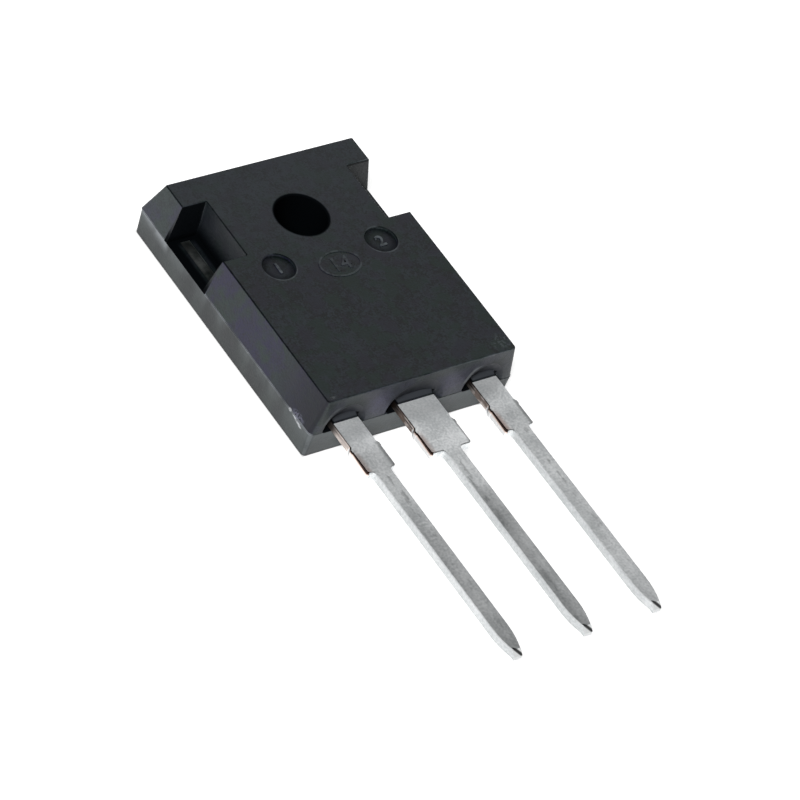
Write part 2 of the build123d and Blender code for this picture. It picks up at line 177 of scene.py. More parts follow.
def spot(tree, place, centre, half_size, soft=0.6):
    """Socket that is 1 in the middle of an oval spot and 0 outside it."""
    away = add_node(tree, "ShaderNodeVectorMath", {0: place, 1: centre}, operation="SUBTRACT").outputs[0]
    scaled = add_node(tree, "ShaderNodeVectorMath", {0: away, 1: [1 / size for size in half_size]},
                      operation="MULTIPLY").outputs[0]
    length = add_node(tree, "ShaderNodeVectorMath", {0: scaled}, operation="LENGTH").outputs["Value"]
    return ramp(tree, length, 1.0 - soft, 1.0, 1.0, 0.0)


class Surface:
    """Sockets of a material that say where a point is, how it faces and which lead it is nearest."""

    def __init__(self, tree):
        self.tree = tree
        self.place = add_node(tree, "ShaderNodeTexCoord").outputs["Object"]
        self.x, self.y, self.z = add_node(tree, "ShaderNodeSeparateXYZ", {0: self.place}).outputs
        normal = add_node(tree, "ShaderNodeNewGeometry").outputs["Normal"]
        self.nx, self.ny, self.nz = add_node(tree, "ShaderNodeSeparateXYZ", {0: normal}).outputs
        self.lift = combine(tree, "SUBTRACT", self.z, PARTING)
        # Number is -1, 0 or 1 at the gate's, the collector's or the emitter's lead.
        self.number = combine(tree, "ROUND", combine(tree, "DIVIDE", self.x, LEAD_PITCH))
        self.across = combine(tree, "SUBTRACT", self.x, product(tree, self.number, LEAD_PITCH))

    def per_lead(self, gate, collector, emitter):
        """Socket of a value that each lead has for itself."""
        square = product(self.tree, self.number, self.number)
        return total(self.tree, collector, product(self.tree, self.number, (emitter - gate) / 2),
                     product(self.tree, square, (gate + emitter) / 2 - collector))

    def grain(self, size, **settings):
        """Socket of a soft noise fixed to the part."""
        return grain(self.tree, self.place, size, **settings)

    def spot(self, centre, half_size, **settings):
        """Socket of an oval spot fixed to the part."""
        return spot(self.tree, self.place, centre, half_size, **settings)


# Moulding compound --------------------------------------------------------------------------------
def moulding_compound(look):
    """Silica-filled epoxy from a spark-eroded mould.

    The filler and carbon black give a deep grey with faint clouds, and the eroded mould leaves an
    even fine grit, so it shines softly at a low angle and is matt from above.
    """
    material, tree, shader = new_material("moulded epoxy compound")
    s = Surface(tree)
    s.out = combine(tree, "ABSOLUTE", s.x)
    # Sunk is the depth below the front face, and fall is its share of the way to the parting line.
    s.sunk = combine(tree, "SUBTRACT", FRONT_FACE, s.z)
    s.fall = combine(tree, "DIVIDE", s.sunk, FRONT_FACE - PARTING)
    s.upward = ramp(tree, s.nz, 0.5, 0.8)
    s.upright = invert(tree, s.upward)
    s.sidelong = ramp(tree, combine(tree, "ABSOLUTE", s.nx), 0.5, 0.8)
    s.above = ramp(tree, s.lift, 0.0, 0.1 * MM)
    s.at_side = ramp(tree, s.out, BODY_HIGH.x - 0.3 * MM, BODY_HIGH.x - 0.1 * MM)
    s.emitter_side = ramp(tree, s.x, 0.0, 1.0 * MM)
    s.in_notch = product(tree, band(tree, s.y, *NOTCH, 0.02 * MM), ramp(tree, s.out, NECK - 0.04 * MM, NECK),
                         ramp(tree, s.fall, 0.0, 0.02), ramp(tree, s.lift, -0.06 * MM, -0.03 * MM))
    clouds = s.grain(2.4 * MM, detail=4.0)
    # The grit is about 0.05 mm, and is drawn at 0.13 mm so that it still shows.
    grit = s.grain(0.13 * MM, detail=1.0)
    s.lumps = s.grain(0.5 * MM, shift=(3.0, 1.0, 8.0))
    s.tone = total(tree, product(tree, clouds, 0.25), product(tree, grit, 0.45), product(tree, s.lumps, 0.3))
    s.hue = s.grain(1.1 * MM, shift=(7.0, 4.0, 1.0))
    s.patches = ramp(tree, s.grain(2.0 * MM, detail=3.0, stretch=(0.3, 0.8, 0.3), shift=(2.0, 5.0, 0.0)),
                     0.4, 0.62)
    s.chalk = ramp(tree, s.grain(0.16 * MM, detail=3.0, shift=(1.0, 9.0, 4.0)), 0.4, 0.54)

    colour = front_colour(s, look)
    colour = wall_colours(s, look, colour)
    colour = rubbed_sides(s, colour)
    colour = knocked_corners(s, colour)
    colour = moulded_marks(s, colour)
    colour = hollow_colours(s, colour)
    # The dark mask paints shade into the colour, and makes the surface rougher and less glossy there.
    dark = darkness(s)
    colour = stain(tree, colour, "050709", dark)

    rough = ramp(tree, s.tone, 0.35, 0.65, look.roughness - 0.04, look.roughness + 0.04)
    rough = total(tree, rough, product(tree, dark, 0.25))
    gloss = ramp(tree, dark, 0.0, 1.0, 0.5, 0.04)
    relief = total(tree, product(tree, grit, 0.014 * MM), product(tree, s.lumps, 0.014 * MM),
                   product(tree, clouds, 0.03 * MM))
    bump = add_node(tree, "ShaderNodeBump", {"Height": relief, "Strength": 1.0, "Distance": 1.0})
    for name, socket in (("Base Color", colour), ("Roughness", rough), ("Normal", bump.outputs[0]),
                         ("Specular IOR Level", gloss)):
        tree.links.new(socket, shader.inputs[name])
    shader.inputs["IOR"].default_value = 1.46
    return material


def front_colour(s, look):
    """The front face, tinged in patches and paler towards the hole end."""
    tree = s.tree
    colour = blend_colours(tree, ramp(tree, s.tone, 0.41, 0.59), (*look.shade, 1), (*look.tint, 1))
    colour = stain(tree, colour, "1d1c27", ramp(tree, s.hue, 0.5, 0.66, 0.0, 0.6))
    colour = stain(tree, colour, "14231e", ramp(tree, s.hue, 0.36, 0.5, 0.6, 0.0))
    return stain(tree, colour, "2d3237", s.upward, ramp(tree, s.y, -6 * MM, 5 * MM, 0.0, 0.55),
                 ramp(tree, s.tone, 0.38, 0.6, 0.45, 1.0))


def wall_colours(s, look, colour):
    """The steep walls: the mould is polished across them, and their skin is violet and green."""
    tree = s.tree
    outside = invert(tree, s.in_notch)
    tinge = ramp(tree, s.grain(1.7 * MM, detail=5.0, shift=(5.0, 2.0, 6.0)), 0.4, 0.58)
    # Towards the leads the long sides turn violet and dim, and the wall beside the leads is paler.
    violet = product(tree, s.sidelong, ramp(tree, s.y, LEAD_END + 2 * MM, LEAD_END + 6 * MM, 0.8, 0.0))
    tinge = combine(tree, "MAXIMUM", tinge, violet)
    skin = blend_colours(tree, tinge, (*look.skin_green, 1), (*look.skin_violet, 1))
    skin = stain(tree, skin, "51565b", ramp(tree, s.ny, -0.8, -0.6, 1.0, 0.0), outside,
                 ramp(tree, s.x, -7.7 * MM, -6.3 * MM, 0.1, 0.45))
    skin = stain(tree, skin, "11121c", s.sidelong, ramp(tree, s.y, LEAD_END, LEAD_END + 6 * MM, 0.75, 0.0))
    ends = combine(tree, "MAXIMUM", ramp(tree, s.y, -4 * MM, HOLE_END, 0.0, 0.4),
                   ramp(tree, s.x, 3.5 * MM, 7.2 * MM, 0.0, 0.6))
    skin = stain(tree, skin, "43484c", ends, outside)
    # Painted shade: the walls inside the notches are painted dark, darkest in the emitter's notch.
    notch_shade = blend_colours(tree, s.emitter_side, srgb("1d2126"), srgb("16191d"))
    skin = blend_colours(tree, s.in_notch, skin, notch_shade)
    for middle in (-2.95 * MM, 2.6 * MM):  # a violet bloom between each two leads
        bloom = s.spot((middle, LEAD_END, PARTING + 1.2 * MM), (1.7 * MM, 0.5 * MM, 1.5 * MM), soft=0.9)
        skin = stain(tree, skin, "4b4a66", bloom, 0.75)
    cover = product(tree, s.upright, s.above, ramp(tree, s.tone, 0.4, 0.6, 0.45, 0.95))
    colour = blend_colours(tree, cover, colour, skin)
    # Below the parting line the walls are greyer, paler near the leads and nearly black at the foot.
    belly = blend_colours(tree, s.patches, srgb("262a2c"), srgb("3a4040"))
    belly = stain(tree, belly, "464c4d", ramp(tree, s.y, LEAD_END, LEAD_END + 5 * MM, 0.7, 0.0))
    cover = product(tree, s.upright, invert(tree, s.above), ramp(tree, s.tone, 0.38, 0.62, 0.6, 0.95))
    colour = blend_colours(tree, cover, colour, belly)
    return stain(tree, colour, "0b0d0e", s.upright, ramp(tree, s.z, 0.1 * MM, 0.28 * MM, 1.0, 0.0),
                 ramp(tree, s.lumps, 0.35, 0.6, 0.2, 0.8))


def rubbed_sides(s, colour):
    """Handling has polished the parting line of the long sides and the lip below each notch, and the lip and
    the band below the parting line carry a painted highlight.
    """
    tree = s.tree
    below = combine(tree, "SUBTRACT", PARTING, s.z)
    past_line = ramp(tree, below, -0.02 * MM, 0.02 * MM)
    colour = stain(tree, colour, "9a9ea5", s.upright, s.at_side,
                   total(tree, 0.25, product(tree, s.patches, 0.75)),
                   ramp(tree, combine(tree, "ABSOLUTE", s.lift), 0.02 * MM, 0.09 * MM, 1.0, 0.0), 0.6)
    # The lip is rubbed most at its end beside the notch, and less far down towards the hole end, and its pale
    # colour is partly a painted highlight.
    reach = ramp(tree, s.y, NOTCH[1], HOLE_END, 0.95 * MM, 0.35 * MM)
    lip = product(tree, ramp(tree, combine(tree, "DIVIDE", below, reach), -0.2, 1.1, 1.0, 0.0), past_line,
                  ramp(tree, s.y, NOTCH[1] - 0.7 * MM, NOTCH[1] - 0.25 * MM),
                  ramp(tree, s.y, NOTCH[1] + 0.2 * MM, HOLE_END, 1.0, 0.5), s.upright, s.at_side)
    wear_and_sheen = ramp(tree, s.grain(0.9 * MM, detail=3.0, shift=(1.0, 1.0, 4.0)), 0.3, 0.6, 0.5, 1.0)
    colour = stain(tree, colour, "a9aeb3", lip, wear_and_sheen, 0.7)
    # A painted highlight fades down the walls from the parting line.
    return stain(tree, colour, "7f868a", ramp(tree, below, 0.0, 1.3 * MM, 1.0, 0.0), past_line, s.upright,
                 s.patches, 0.2)


def knocked_corners(s, colour):
    """Knocks have left chalky scuffs beside the gate lead and rubbed the upper edges, and the corner below
    the gate lead has a painted highlight.
    """
    tree = s.tree
    corner_x, corner_y = BODY_LOW.x, LEAD_END
    scuffs = None
    for along, up, length, height in ((2.42, 0.0, 0.2, 0.16), (1.82, -0.1, 0.34, 0.11),
                                      (1.42, -0.2, 0.4, 0.12), (1.15, -0.3, 0.26, 0.1)):
        mark = s.spot((corner_x, corner_y + along * MM, PARTING + up * MM),
                      (0.4 * MM, length * MM, height * MM))
        scuffs = mark if scuffs is None else combine(tree, "MAXIMUM", scuffs, mark)
    flour = ramp(tree, s.grain(0.22 * MM, detail=4.0, shift=(1.0, 9.0, 4.0)), 0.3, 0.5, 0.25, 1.0)
    colour = stain(tree, colour, "e4e7ec", scuffs, flour, 0.65)
    graze = s.spot((corner_x, corner_y + 1.6 * MM, PARTING + 0.2 * MM), (0.5 * MM, 0.8 * MM, 0.35 * MM))
    colour = stain(tree, colour, "8d8ea4", graze, s.chalk, 0.4)
    nub = s.spot((corner_x + 1.1 * MM, corner_y + 0.4 * MM, FRONT_FACE), (0.35 * MM, 0.16 * MM, 0.2 * MM))
    colour = stain(tree, colour, "63696d", nub, s.chalk, 0.35)
    # The upper edge above the leads is rubbed, and the corner below the gate lead has a painted highlight.
    edge = product(tree, band(tree, s.nz, 0.25, 0.9, 0.08), ramp(tree, s.ny, -0.5, -0.2, 1.0, 0.0),
                   ramp(tree, s.z, FRONT_FACE - 0.25 * MM, FRONT_FACE - 0.15 * MM),
                   ramp(tree, s.x, -3 * MM, 5 * MM, 0.1, 1.0), ramp(tree, s.hue, 0.3, 0.6, 0.1, 1.0))
    colour = stain(tree, colour, "8f969a", edge, 0.22)
    corner = product(tree, band(tree, s.nx, -0.9, -0.45, 0.1), band(tree, s.ny, -0.9, -0.45, 0.1),
                     ramp(tree, s.lift, -0.1 * MM, 0.0, 1.0, 0.0), ramp(tree, s.lumps, 0.3, 0.55, 0.4, 1.0))
    colour = stain(tree, colour, "9a9fa3", corner, 0.16)
    # The front has specks in the emitter's corner.
    specks = s.spot((6.7 * MM, LEAD_END + 0.9 * MM, FRONT_FACE), (1.1 * MM, 0.9 * MM, 0.3 * MM))
    speckle = ramp(tree, s.grain(0.16 * MM, detail=3.0, shift=(6.0, 6.0, 2.0)), 0.5, 0.64)
    return stain(tree, colour, "6c7377", specks, speckle, s.upward, 0.22)


def moulded_marks(s, colour):
    """Raised marks are rubbed pale. The ejector pins left ground floors, and the rims of the pin marks carry
    a painted highlight towards the leads.
    """
    tree = s.tree
    colour = stain(tree, colour, "4a5054", s.upward, ramp(tree, s.lumps, 0.4, 0.6, 0.05, 0.4),
                   ramp(tree, s.z, FRONT_FACE + 0.008 * MM, FRONT_FACE + 0.03 * MM))
    pin_y = combine(tree, "SUBTRACT", s.y, PIN_MARK[1])
    s.pin_radius = distance(tree, combine(tree, "SUBTRACT", s.out, PIN_MARK[0]), pin_y)
    s.in_pin = product(tree, ramp(tree, s.pin_radius, PIN_MARK_RADIUS, PIN_MARK_RADIUS + 0.03 * MM, 1.0, 0.0),
                       ramp(tree, s.sunk, -0.01 * MM, 0.02 * MM))
    numeral_top = ramp(tree, s.sunk, PIN_MARK_DEPTH - 0.06 * MM, PIN_MARK_DEPTH - 0.04 * MM, 1.0, 0.0)
    colour = stain(tree, colour, "60676b", s.in_pin, numeral_top, ramp(tree, s.lumps, 0.4, 0.6, 0.15, 0.6),
                   ramp(tree, s.pin_radius, 0.75 * MM, 0.8 * MM, 1.0, 0.0))
    # Painted highlight on the rim of each pin mark, on the side towards the leads.
    rim = band(tree, s.pin_radius, PIN_MARK_RADIUS + 0.03 * MM, PIN_MARK_RADIUS + 0.12 * MM, 0.05 * MM)
    return stain(tree, colour, "50565a", rim, ramp(tree, pin_y, -0.9 * MM, 0.0, 1.0, 0.0), s.upward,
                 ramp(tree, s.lumps, 0.4, 0.55, 0.4, 1.0), 0.55)


def hollow_colours(s, colour):
    """The hollows round the leads are painted a lighter grey, painted light in their shade, and the rims of
    the outer ones carry a painted highlight on the gate's side.
    """
    tree = s.tree
    # Bow is 1 on the rim of a hollow, and less inside it.
    s.bow = distance(tree, combine(tree, "DIVIDE", s.across, s.per_lead(*HOLLOW_HALF_WIDTHS)),
                     combine(tree, "DIVIDE", s.lift, s.per_lead(*HOLLOW_HEIGHTS)))
    s.hollow = product(tree, ramp(tree, s.y, LEAD_END + 0.03 * MM, LEAD_END + 0.08 * MM),
                       ramp(tree, s.y, LEAD_END + 0.6 * MM, LEAD_END + 0.65 * MM, 1.0, 0.0),
                       band(tree, s.lift, -0.03 * MM, FRONT_FACE - PARTING - 0.15 * MM, 0.02 * MM),
                       ramp(tree, s.bow, 0.95, 1.1, 1.0, 0.0))
    # Painted light: the roofs and floors of the hollows lie in shade and are painted a lighter grey.
    colour = stain(tree, colour, "45474e", s.hollow, ramp(tree, s.nz, -0.4, 0.0, 1.0, 0.0), 0.9)
    colour = stain(tree, colour, "3c3f44", s.hollow, s.upward, 0.9)
    # A painted highlight lies on the rim of each outer lead's hollow, on the gate's side.
    rim = product(tree, band(tree, s.bow, 1.0, 1.06, 0.08), band(tree, s.lift, 0.9 * MM, 1.8 * MM, 0.3 * MM),
                  ramp(tree, s.across, -0.6 * MM, -0.1 * MM, 1.0, 0.0), s.upright,
                  ramp(tree, s.y, LEAD_END + 1.0 * MM, LEAD_END + 1.1 * MM, 1.0, 0.0))
    return stain(tree, colour, "8f9496", rim, s.per_lead(0.25, 0.0, 0.5))


def darkness(s):
    """Mask of painted shade in the bore, the pin marks, the notches and round the leads, and of a painted
    dark reflection along one edge; it also dulls the long sides towards the leads.
    """
    tree = s.tree
    # Painted shade darkens the bore.
    bore_shade = ramp(tree, distance(tree, s.x, s.y), HOLE_RADIUS + 0.06 * MM, HOLE_RADIUS + 0.22 * MM, 1.0, 0.0)
    # The floors of the pin marks are darker, and painted shade darkens them further towards their walls.
    pins = product(tree, s.in_pin, ramp(tree, s.pin_radius, 0.55 * MM, 1.0 * MM, 0.25, 0.55),
                   ramp(tree, s.sunk, PIN_MARK_DEPTH - 0.04 * MM, PIN_MARK_DEPTH - 0.02 * MM, 0.2, 1.0))
    near_end = ramp(tree, s.y, LEAD_END + 0.9 * MM, LEAD_END + 1.0 * MM, 1.0, 0.0)
    at_end = product(tree, s.upright, near_end, ramp(tree, s.lift, -0.03 * MM, 0.0))
    # Painted shade darkens the end face round the hollows.
    walls = product(tree, at_end, ramp(tree, s.bow, 0.8, 1.4, 1.0, 0.0), ramp(tree, s.nz, -0.4, -0.2),
                    ramp(tree, s.across, -0.6 * MM, 0.6 * MM, 0.15, 0.32))
    # Painted shade lies beside each root on the gate's side.
    root = s.per_lead(*ROOT_HALF_WIDTHS)
    root_side_shade = product(tree, at_end, ramp(tree, total(tree, s.across, root), -0.7 * MM, -0.1 * MM),
                   ramp(tree, s.across, -0.3 * MM, 0.3 * MM, 1.0, 0.0),
                   band(tree, s.lift, 0.05 * MM, 1.4 * MM, 0.6 * MM))
    # Beside each root a painted shadow is widest at the parting line on one side, and runs down on the other.
    gate_side = ramp(tree, s.across, -0.1 * MM, 0.1 * MM, 1.0, 0.0)
    run = ramp(tree, s.lift, 0.0, 0.7 * MM, 0.35 * MM, 0.0)
    reach = total(tree, 0.18 * MM, product(tree, gate_side, run))
    bottom = ramp(tree, s.across, -0.1 * MM, 0.1 * MM, 0.0, -0.6 * MM)
    past = combine(tree, "SUBTRACT", combine(tree, "ABSOLUTE", s.across), root)
    painted_shade = product(tree, ramp(tree, past, -0.12 * MM, -0.02 * MM), near_end,
                   ramp(tree, combine(tree, "SUBTRACT", past, reach), 0.0, 0.12 * MM, 1.0, 0.0),
                   ramp(tree, combine(tree, "SUBTRACT", s.lift, bottom), -0.12 * MM, 0.0),
                   ramp(tree, s.lift, 0.7 * MM, 0.8 * MM, 1.0, 0.0))
    # A painted dark line of shade follows the top of each root.
    root_top_shade = product(tree, ramp(tree, s.y, LEAD_END + 0.04 * MM, LEAD_END + 0.14 * MM, 1.0, 0.0),
                   band(tree, s.lift, 0.55 * MM, 0.75 * MM, 0.05 * MM), s.hollow, s.upward)
    # Painted shade fills the notches, deeper towards their floors and on the gate's far wall; the emitter's
    # notch gets less of it, with a painted dark line of shade along the upper edge of its far wall.
    far_wall = ramp(tree, s.ny, -0.8, -0.5, 1.0, 0.0)
    far_wall_shade = product(tree, far_wall, invert(tree, s.emitter_side), 0.85)
    clean = invert(tree, product(tree, far_wall, s.emitter_side, 0.8))
    floor_depth_shade = combine(tree, "MAXIMUM", far_wall_shade, product(tree, ramp(tree, s.fall, 0.4, 0.98), clean))
    strip = product(tree, band(tree, s.out, 6.2 * MM, 7.2 * MM, 0.25 * MM), s.upward,
                    band(tree, s.y, NOTCH[0] + 0.6 * MM, NOTCH[1] - 0.9 * MM, 0.4 * MM), 0.4)
    pocket = product(tree, s.in_notch, floor_depth_shade, invert(tree, strip),
                     ramp(tree, s.x, 7.5 * MM, 7.7 * MM, 1.0, 0.1))
    crease = product(tree, far_wall, s.emitter_side, s.in_notch, band(tree, s.fall, 0.0, 0.06, 0.03))
    # A painted reflection darkens the edge between the front and the gate's side.
    dark_edge_reflection = product(tree, band(tree, s.nz, 0.5, 0.97, 0.02), ramp(tree, s.nx, -0.3, -0.1, 1.0, 0.0),
                    ramp(tree, s.sunk, 0.1 * MM, 0.16 * MM, 1.0, 0.0))
    # The long sides are duller towards the leads.
    lee = product(tree, s.sidelong, s.above,
                  ramp(tree, s.y, LEAD_END + 0.5 * MM, LEAD_END + 5 * MM, 1.0, 0.0))
    dark = pins
    for mask, weight in ((bore_shade, 1.0), (walls, 1.0), (painted_shade, 0.95), (root_top_shade, 0.9), (pocket, 1.0), (root_side_shade, 0.4),
                         (dark_edge_reflection, 0.7), (lee, 0.2), (crease, 0.5)):
        dark = combine(tree, "MAXIMUM", dark, product(tree, mask, weight))
    return dark


# Metals -------------------------------------------------------------------------------------------
def tin_plate(look):
    """Matt tin, plated on a stamped copper strip.

    The rolled strip leaves fine lines along the leads and the tin dulls in clouds. Where the tie bar
    was cut away after plating, the edges are bare copper, darkest where the punch went in.
    """
    material, tree, shader = new_material("matt tin plate on copper")
    s = Surface(tree)
    s.top = ramp(tree, s.nz, 0.85, 0.97)
    s.sideways = combine(tree, "ABSOLUTE", s.nx)
    s.flank = ramp(tree, s.sideways, 0.5, 0.6)
    s.along = combine(tree, "SUBTRACT", LEAD_END, s.y)
    s.to_tip = combine(tree, "SUBTRACT", s.y, LEAD_TIP)
    s.thin = ramp(tree, s.along, *NARROWING)
    s.half_width = s.per_lead(*SHOULDER_HALF_WIDTHS)
    s.clouds = s.grain(2.0 * MM, detail=3.0)
    s.fine = s.grain(0.16 * MM, detail=1.0, shift=(2.0, 2.0, 0.0))
    lines = s.grain(0.3 * MM, detail=3.0, stretch=(1.0, 0.05, 1.0))
    # The lines show most on the narrow leads.
    pattern = blend_numbers(tree, ramp(tree, s.along, 4.0 * MM, 6.0 * MM, 0.15, 0.4), s.clouds, lines)
    dullness = total(tree, product(tree, pattern, 0.55), product(tree, s.fine, 0.45))

    colour = blend_colours(tree, ramp(tree, dullness, 0.32, 0.68), (*look.dull, 1), (*look.bright, 1))
    colour = blend_colours(tree, top_level(s), srgb("1a1b1c"), colour)
    colour = stain(tree, colour, "2a2b2c", s.thin, s.flank, 0.25)
    # Dark nicks lie in a row on each narrow lead, where it has rubbed against its carrier.
    row = combine(tree, "SUBTRACT", s.across, s.per_lead(0.12 * MM, -0.3 * MM, 0.22 * MM))
    nicks = s.grain(0.6 * MM, detail=4.0, stretch=(1.0, 0.5, 1.0), shift=(0.0, 3.0, 7.0))
    colour = stain(tree, colour, "4b4e4e", s.thin, s.top, ramp(tree, nicks, 0.5, 0.62),
                   ramp(tree, combine(tree, "ABSOLUTE", row), 0.1 * MM, 0.26 * MM, 1.0, 0.0),
                   ramp(tree, s.along, 9 * MM, 12 * MM, 0.42, 0.28))
    colour = header_shade(s, colour)
    colour = bare_flanks(s, colour)
    # The press has left the coined end of each tip pale, and a black line across it is a painted shadow of
    # the burr along its edge.
    end = product(tree, ramp(tree, s.to_tip, 0.36 * MM, 0.42 * MM, 1.0, 0.0),
                  ramp(tree, s.ny, -0.5, -0.3, 1.0, 0.0))
    colour = stain(tree, colour, "eef0f0", end)
    slant = total(tree, combine(tree, "SUBTRACT", s.across, 0.3 * MM), product(tree, s.to_tip, 1.2))
    burr_shadow = product(tree, ramp(tree, combine(tree, "ABSOLUTE", slant), 0.08 * MM, 0.2 * MM, 1.0, 0.0),
                      ramp(tree, s.sideways, 0.4, 0.6, 1.0, 0.0),
                      ramp(tree, s.to_tip, 0.5 * MM, 0.6 * MM, 1.0, 0.0),
                      ramp(tree, s.z, LEAD_TOP - 0.4 * MM, LEAD_TOP - 0.3 * MM))
    colour = stain(tree, colour, "161618", burr_shadow, 0.95)

    rough = ramp(tree, dullness, 0.3, 0.7, look.roughness + 0.06, look.roughness - 0.06)
    # The upper faces of the narrow leads are a little crowned, and flat only in the middle.
    flat, curvature = 0.33 * MM, -120.0
    edge = combine(tree, "SUBTRACT", combine(tree, "ABSOLUTE", s.across), flat)
    edge = combine(tree, "MAXIMUM", edge, 0.0)
    crown = product(tree, combine(tree, "POWER", edge, 2.0), curvature, s.thin)
    relief = total(tree, product(tree, lines, 0.01 * MM), product(tree, s.fine, 0.006 * MM), crown)
    bump = add_node(tree, "ShaderNodeBump", {"Height": relief, "Strength": 1.0, "Distance": 1.0})
    # Clearing the flash off with grit has frosted the plating next to the body. So are the coined
    # ends, and the upper edges of the narrow leads, which the punch has rolled over.
    rolled = product(tree, s.thin, band(tree, s.nz, 0.2, 0.93, 0.04))
    clean = invert(tree, product(tree, combine(tree, "MAXIMUM", rolled, end), 0.75))
    metallic = product(tree, ramp(tree, s.along, 0.3 * MM, 2.2 * MM, 0.5, 1.0), clean)
    for name, socket in (("Base Color", colour), ("Roughness", rough), ("Normal", bump.outputs[0]),
                         ("Metallic", metallic)):
        tree.links.new(socket, shader.inputs[name])
    return material


def top_level(s):
    """How bright the upper faces are: each lead has dulled by its own amount, the narrow part more."""
    tree = s.tree
    level = s.per_lead(1.0, 1.0, 0.9)
    for start, end, levels in (
            (1.8 * MM, 3.2 * MM, (0.68, 0.9, 0.74)),
            (*NARROWING, (0.72, 0.79, 0.77)),
            (s.per_lead(8.6 * MM, 7.2 * MM, 9 * MM), s.per_lead(10.8 * MM, 8.4 * MM, 12 * MM),
             (0.56, 0.56, 0.77)),
            (16 * MM, 20 * MM, (0.45, 0.48, 0.64))):
        level = blend_numbers(tree, ramp(tree, s.along, start, end), level, s.per_lead(*levels))
    # A streak runs down the left of each narrow lead, and the right edge of each shoulder is dull.
    streak = product(tree, ramp(tree, s.along, 7 * MM, 9 * MM), s.per_lead(0.12, 0.22, 0.04),
                     ramp(tree, s.across, -0.3 * MM, 0.2 * MM, 1.0, 0.0))
    from_right = combine(tree, "SUBTRACT", s.half_width, s.across)
    roll = product(tree, band(tree, s.along, 2.3 * MM, 4.2 * MM, 0.3 * MM),
                   ramp(tree, from_right, s.per_lead(0.12 * MM, 0.08 * MM, 0.12 * MM),
                        s.per_lead(0.4 * MM, 0.22 * MM, 0.36 * MM), 1.0, 0.0), 0.5)
    level = product(tree, level, invert(tree, product(tree, total(tree, streak, roll), s.top)))
    return blend_numbers(tree, s.top, 1.0, level)


def header_shade(s, colour):
    """The strip of header at the floor of each notch is painted dark as shade, and darker still away from its
    middle.
    """
    tree = s.tree
    inner = ramp(tree, s.y, LEAD_END + 0.6 * MM, LEAD_END + 0.8 * MM)
    painted_shade = blend_colours(tree, ramp(tree, s.fine, 0.4, 0.6), srgb("121716"), srgb("1f2623"))
    cover = product(tree, inner, ramp(tree, s.clouds, 0.3, 0.6, 1.0, 0.9))
    colour = blend_colours(tree, cover, colour, painted_shade)
    # Painted shade darkens the strip further, except in its middle.
    clear = product(tree, band(tree, combine(tree, "ABSOLUTE", s.x), 6.55 * MM, 6.85 * MM, 0.25 * MM),
                    band(tree, s.y, NOTCH[0] + 0.8 * MM, NOTCH[1] - 1.8 * MM, 1.0 * MM))
    return stain(tree, colour, "0c0e0e", inner, invert(tree, clear), 0.7)


def bare_flanks(s, colour):
    """The flanks: smeared with compound up to the cut tie bar, and bare copper past it."""
    tree = s.tree
    spots = s.grain(0.4 * MM, detail=3.0, stretch=(0.2, 0.5, 1.0), shift=(0.0, 0.0, 0.4))
    smear = stain(tree, srgb("efe3dd"), "6b574c", ramp(tree, spots, 0.36, 0.56), s.per_lead(0.35, 0.9, 0.8))
    scores = combine(tree, "MAXIMUM", ramp(tree, s.lift, 0.48 * MM, 0.55 * MM),
                     product(tree, band(tree, s.lift, 0.3 * MM, 0.37 * MM, 0.06 * MM),
                             ramp(tree, spots, 0.4, 0.55, 1.0, 0.15)))
    smear = stain(tree, smear, "1d1613", scores, 0.9)
    # Painted shade darkens the flanks where they leave the body.
    smear = stain(tree, smear, "0c0a09", ramp(tree, s.along, -0.1 * MM, 0.8 * MM, 0.9, 0.0))
    near_body = product(tree, s.flank, ramp(tree, s.along, 1.9 * MM, 2.1 * MM, 1.0, 0.0))
    colour = blend_colours(tree, near_body, colour, smear)
    # Past the tie bar the punch has drawn a dark line along the upper edge of the bare flank.
    line_depth = ramp(tree, s.along, 2.0 * MM, 4.3 * MM, 0.47 * MM, 0.37 * MM)
    under_line = combine(tree, "SUBTRACT", s.lift, line_depth)
    copper = stain(tree, srgb("ffffff"), "f0d9cd", ramp(tree, under_line, -0.16 * MM, 0.0))
    copper = stain(tree, copper, "36231c", ramp(tree, under_line, 0.0, 0.05 * MM))
    raw = product(tree, band(tree, s.along, 1.95 * MM, 4.3 * MM, 0.05 * MM), ramp(tree, s.sideways, 0.3, 0.5))
    colour = blend_colours(tree, raw, colour, copper)
    # The copper shows through along the left edge of each shoulder.
    return stain(tree, colour, "a0857b", s.top, ramp(tree, s.along, 2.1 * MM, 3.2 * MM), invert(tree, s.thin),
                 ramp(tree, total(tree, s.half_width, s.across), 0.05 * MM, 0.5 * MM, 1.0, 0.0),
                 ramp(tree, s.clouds, 0.3, 0.6, 0.6, 1.0), 0.8)


def plain_metal(name, shade, tint, size, roughness):
    """A metal with faint clouds of this size, for the sealed pieces."""
    material, tree, shader = new_material(name)
    place = add_node(tree, "ShaderNodeTexCoord").outputs["Object"]
    clouds = grain(tree, place, size, detail=3.0)
    colour = blend_colours(tree, clouds, srgb(shade), srgb(tint))
    bump = add_node(tree, "ShaderNodeBump",
                    {"Height": product(tree, clouds, size / 20), "Strength": 1.0, "Distance": 1.0})
    tree.links.new(colour, shader.inputs["Base Color"])
    tree.links.new(bump.outputs[0], shader.inputs["Normal"])
    shader.inputs["Metallic"].default_value = 1.0
    shader.inputs["Roughness"].default_value = roughness
    return material


# Shapes -------------------------------------------------------------------------------------------
def set_finish(piece, material):
    """Gives a piece this material alone."""
    piece.data.materials.clear()
    piece.data.materials.append(material)


def finish_piece(piece, material):
    """Gives a made piece its finish and ties it to the part."""
    set_finish(piece, material)
    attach(piece, "root")


